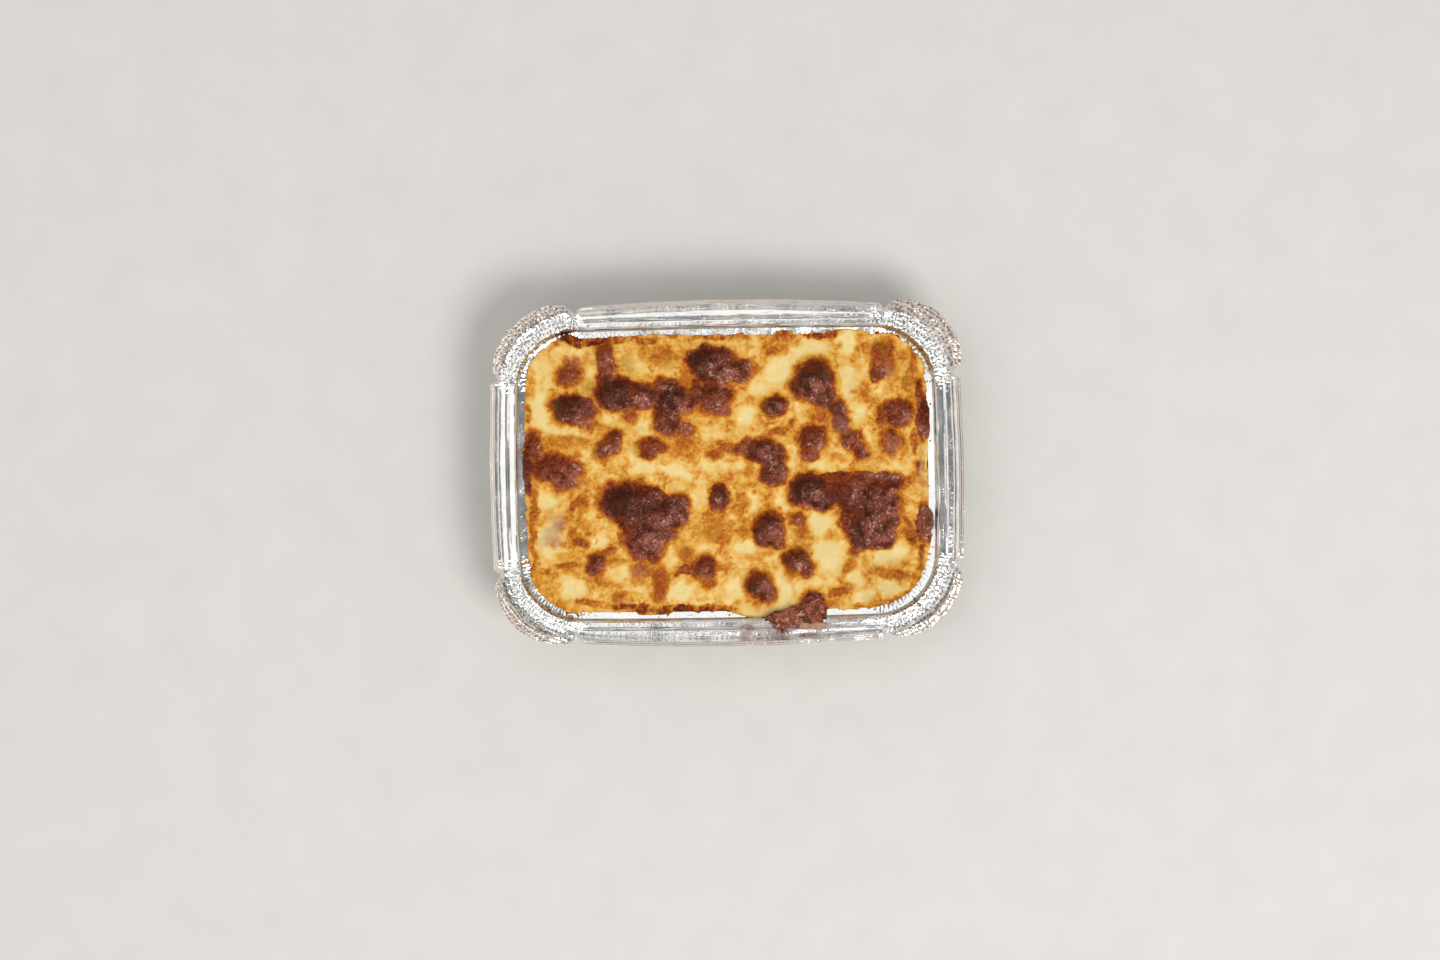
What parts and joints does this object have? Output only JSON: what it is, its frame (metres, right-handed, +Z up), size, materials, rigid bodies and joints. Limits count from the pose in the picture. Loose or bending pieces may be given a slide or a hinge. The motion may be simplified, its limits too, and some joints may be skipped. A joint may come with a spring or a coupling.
{
  "type": "foil tray meal",
  "caption": "Oblong aluminium foil tray with crimped lip and flared corner ears, filled with baked pasta under a browned, blistered crust.",
  "frame": {"origin": "middle of the base, on the table", "axes": "+X along the tray's length, +Y across its width, +Z up"},
  "size_m": [0.2204, 0.1614, 0.0412],
  "materials": {
    "foil": "annealed foil, satin to bright, crumpled at the corners",
    "crust": "oily baked cheese crust, golden with dark brown blisters"
  },
  "bodies": {
    "root": {"foil_tray": "foil", "baked_pasta": "crust"}
  },
  "joints": []
}
